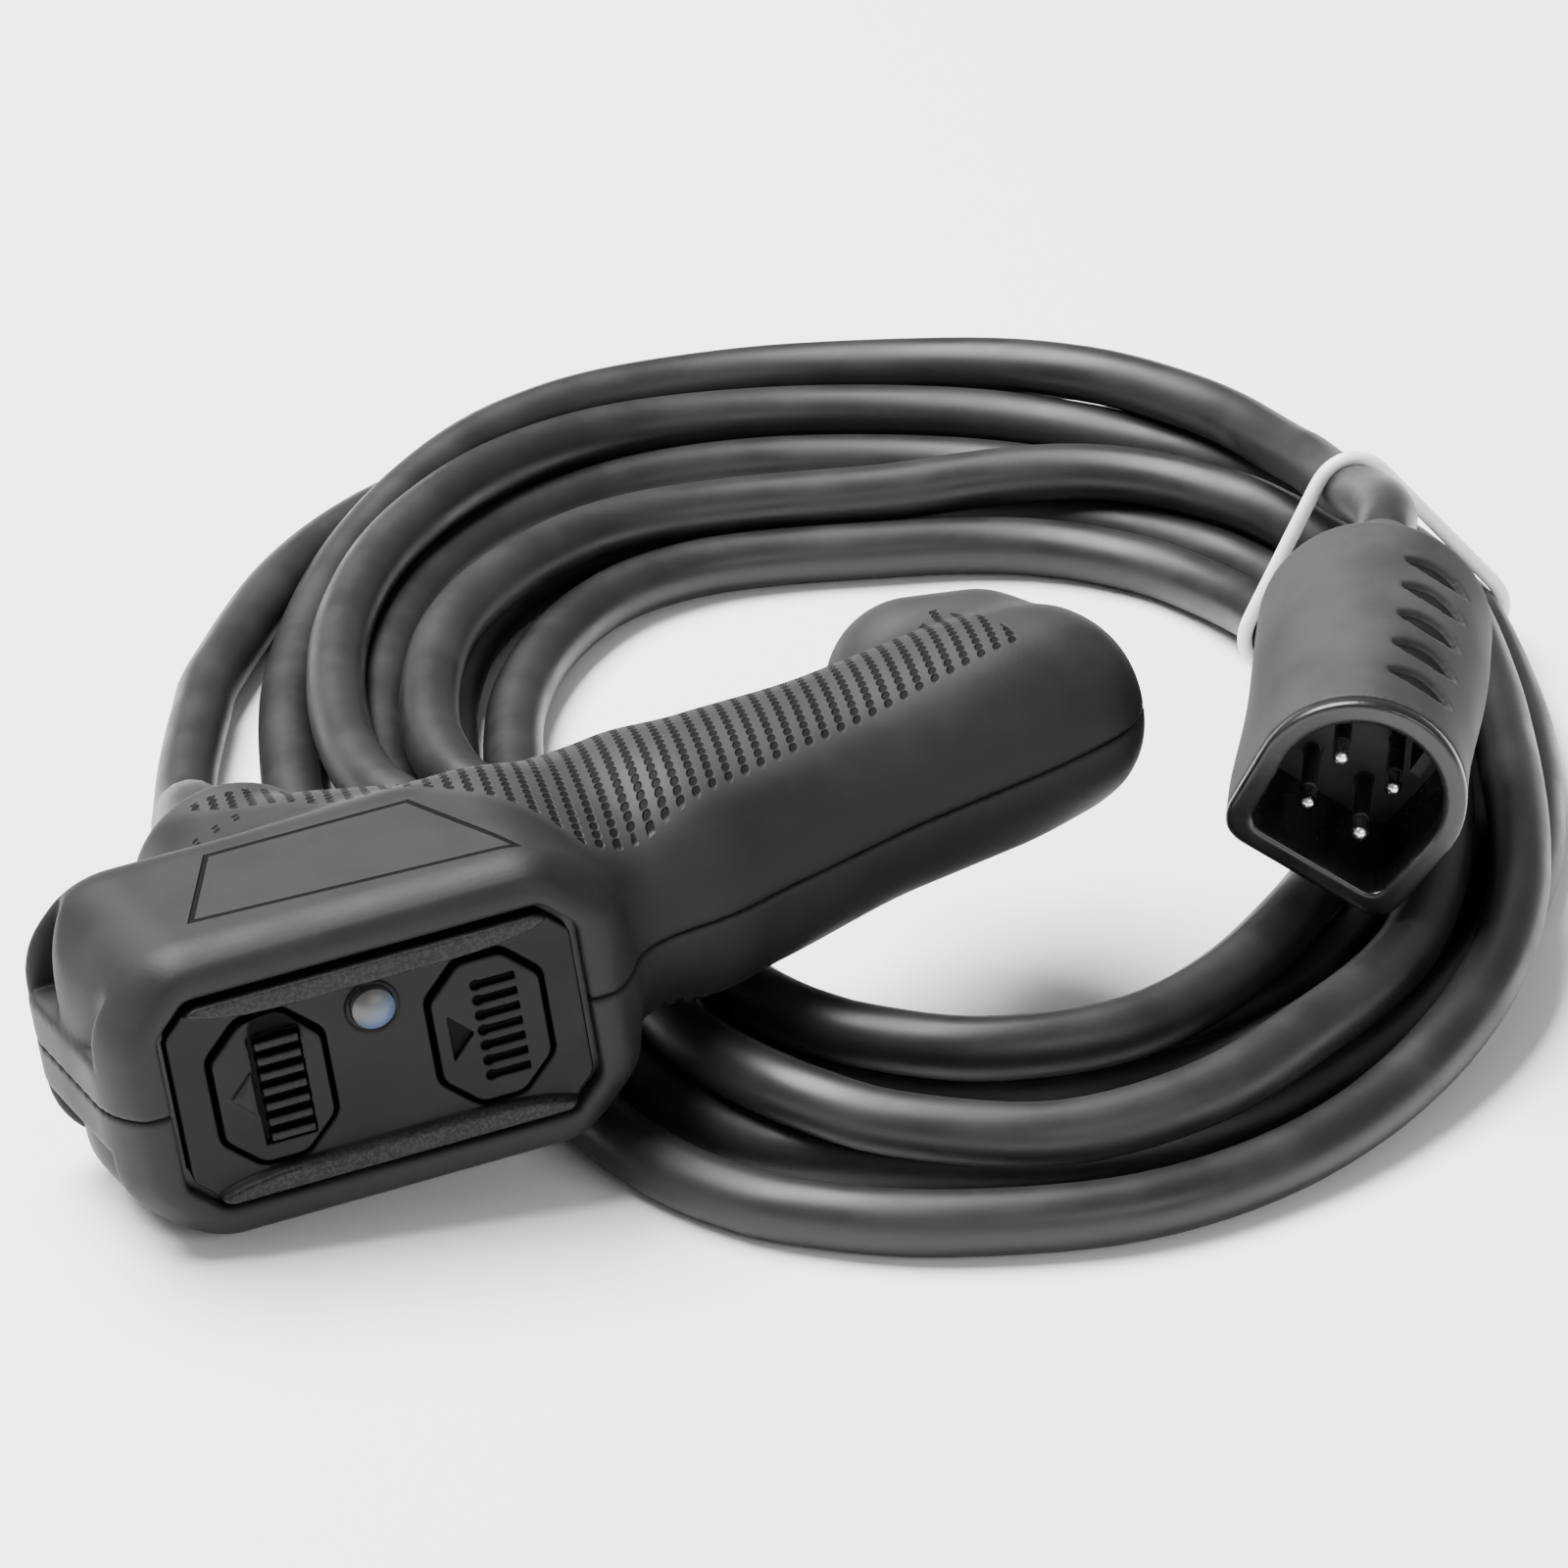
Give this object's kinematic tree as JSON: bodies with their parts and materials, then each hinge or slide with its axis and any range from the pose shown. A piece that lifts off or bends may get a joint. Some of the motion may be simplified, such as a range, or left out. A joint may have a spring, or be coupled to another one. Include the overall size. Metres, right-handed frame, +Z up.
{
  "type": "wired hand remote control",
  "caption": "Pistol-shaped wired hand remote with two push buttons and a lamp, lying on its coiled cord with a moulded multi-pin plug.",
  "frame": {"origin": "on the table under the middle of the handset, at the centre of the bottom of the handset's box (cord and plug left out)", "axes": "+X along the button panel towards the grip end, +Y into the panel, the way the buttons are pressed, +Z up from the table"},
  "size_m": [0.2454, 0.2714, 0.0608],
  "materials": {
    "shell_rubber": "satin moulded rubber with a fine grain",
    "panel_plastic": "satin",
    "black_rubber": "smooth",
    "seal_silicone": "matt",
    "switch_case": "matt",
    "plunger_plastic": "matt",
    "board": "satin",
    "emitter": "gloss",
    "lens": "milky gloss",
    "terminal_plastic": "matt",
    "screw_steel": "bright",
    "brass": "bright",
    "clamp_plastic": "matt",
    "cord_jacket": "satin jacket",
    "insulation_black": "satin",
    "insulation_red": "satin",
    "insulation_green": "satin",
    "insulation_white": "satin",
    "tie_plastic": "satin",
    "plug_rubber": "matt moulded rubber",
    "pin_metal": "bright plated"
  },
  "bodies": {
    "handset": {"upper_shell": "shell_rubber", "lower_shell": "shell_rubber", "front_bezel": "panel_plastic", "bezel_gasket": "black_rubber", "button_frame": "black_rubber", "seal_sheet": "seal_silicone", "switch_left": "switch_case", "switch_right": "switch_case", "circuit_board": "board", "lamp_emitter": "emitter", "lamp_lens": "lens", "terminal_block": "terminal_plastic", "board_screws": "screw_steel", "shell_screws": "screw_steel", "thread_inserts": "brass", "cord_gland": "black_rubber", "cord_clamp": "clamp_plastic", "clamp_screws": "screw_steel", "cord_tail": "cord_jacket", "wire_black": "insulation_black", "wire_red": "insulation_red", "wire_green": "insulation_green", "wire_white": "insulation_white", "cord_lead_out": "cord_jacket", "cord_coil": "cord_jacket", "cord_lead_in": "cord_jacket", "cord_tie": "tie_plastic", "plug_boot": "plug_rubber", "plug_body": "plug_rubber", "plug_liner": "black_rubber", "pin_carrier": "black_rubber", "pin_1": "pin_metal", "pin_2": "pin_metal", "pin_3": "pin_metal", "pin_4": "pin_metal", "crimp_sleeves": "brass"},
    "left_button": {"button_left": "panel_plastic", "plunger_left": "plunger_plastic"},
    "right_button": {"button_right": "panel_plastic", "plunger_right": "plunger_plastic"}
  },
  "joints": [
    {"name": "left_button_press", "type": "slide", "parent": "handset", "child": "left_button", "axis": [0, 1, 0], "range_m": [0, 0.0012], "stiffness_N_per_m": 900, "springref_m": -0.0008},
    {"name": "right_button_press", "type": "slide", "parent": "handset", "child": "right_button", "axis": [0, 1, 0], "range_m": [0, 0.0012], "stiffness_N_per_m": 900, "springref_m": -0.0008}
  ]
}
